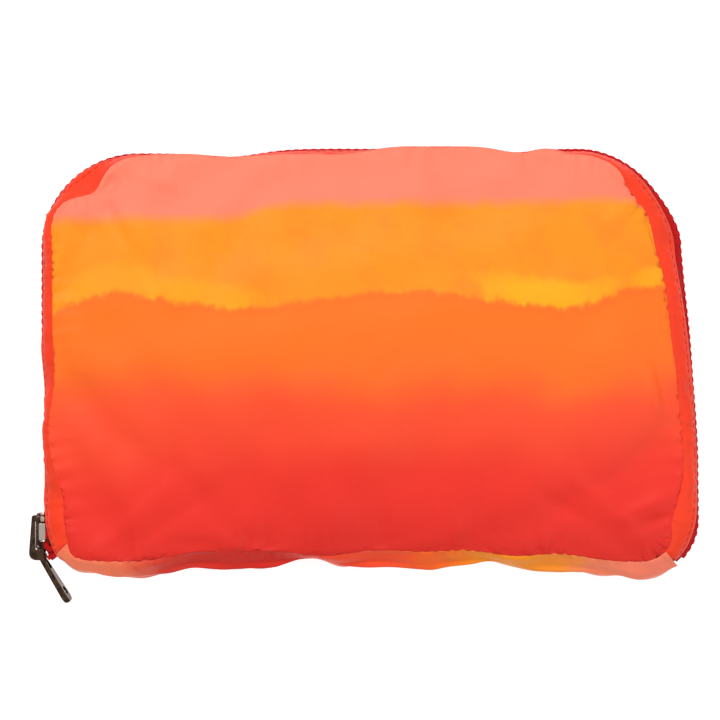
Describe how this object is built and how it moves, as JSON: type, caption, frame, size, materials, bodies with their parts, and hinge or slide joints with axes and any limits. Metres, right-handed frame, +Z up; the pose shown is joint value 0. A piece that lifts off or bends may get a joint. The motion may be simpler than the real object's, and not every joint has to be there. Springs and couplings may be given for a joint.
{
  "type": "foldable tote bag",
  "caption": "Thin nylon tote bag folded flat into its own zipped rectangular pouch, with a slider and pull tab at a lower corner.",
  "frame": {"origin": "middle of the flat face of the back panel that the pouch rests on", "axes": "+X to the right along the long side, +Y from the hinged bottom gusset to the zipped top edge, +Z up out of the front panel"},
  "size_m": [0.2344, 0.1588, 0.038],
  "materials": {
    "printed_nylon": "satin",
    "plain_nylon": "satin",
    "lining_nylon": "satin",
    "strap_nylon": "satin",
    "zipper_tape": "matte",
    "zipper_teeth": "satin",
    "gunmetal": "polished"
  },
  "bodies": {
    "case": {"back_panel": "printed_nylon", "bottom_gusset": "printed_nylon", "tote_back_body": "printed_nylon", "tote_front_body": "printed_nylon", "tote_side_gusset_left": "printed_nylon", "tote_side_gusset_right": "printed_nylon", "tote_top_hem": "printed_nylon", "back_zip_strip": "plain_nylon", "back_seam_binding": "lining_nylon", "tote_base_panel": "lining_nylon", "carry_strap_front": "strap_nylon", "carry_strap_back": "strap_nylon", "back_zipper_tape": "zipper_tape", "back_tape_end": "zipper_tape", "back_teeth_round": "zipper_teeth", "back_teeth_left": "zipper_teeth", "back_top_stop": "zipper_teeth"},
    "lid": {"front_panel": "printed_nylon", "front_zip_strip": "plain_nylon", "front_seam_binding": "lining_nylon", "front_zipper_tape": "zipper_tape", "front_tape_end": "zipper_tape", "front_teeth_round": "zipper_teeth", "front_teeth_left": "zipper_teeth", "front_top_stop": "zipper_teeth"},
    "slider": {"slider_body": "gunmetal", "slider_crown": "gunmetal"},
    "pull": {"pull_tab": "gunmetal"}
  },
  "joints": [
    {"name": "lid_open", "type": "hinge", "parent": "case", "child": "lid", "pos_m": [0, -0.075, 0.019], "axis": [1, 0, 0], "range_deg": [0, 180], "deforming": ["bottom_gusset"]},
    {"name": "zip_slide", "type": "slide", "parent": "case", "child": "slider", "axis": [0, 1, 0], "range_m": [0, 0.085], "deforming": ["front_teeth_left", "back_teeth_left"]},
    {"name": "pull_swing", "type": "hinge", "parent": "slider", "child": "pull", "pos_m": [-0.1155, -0.0672, 0.019], "axis": [0, 0, 1], "range_deg": [-150, 2]}
  ]
}
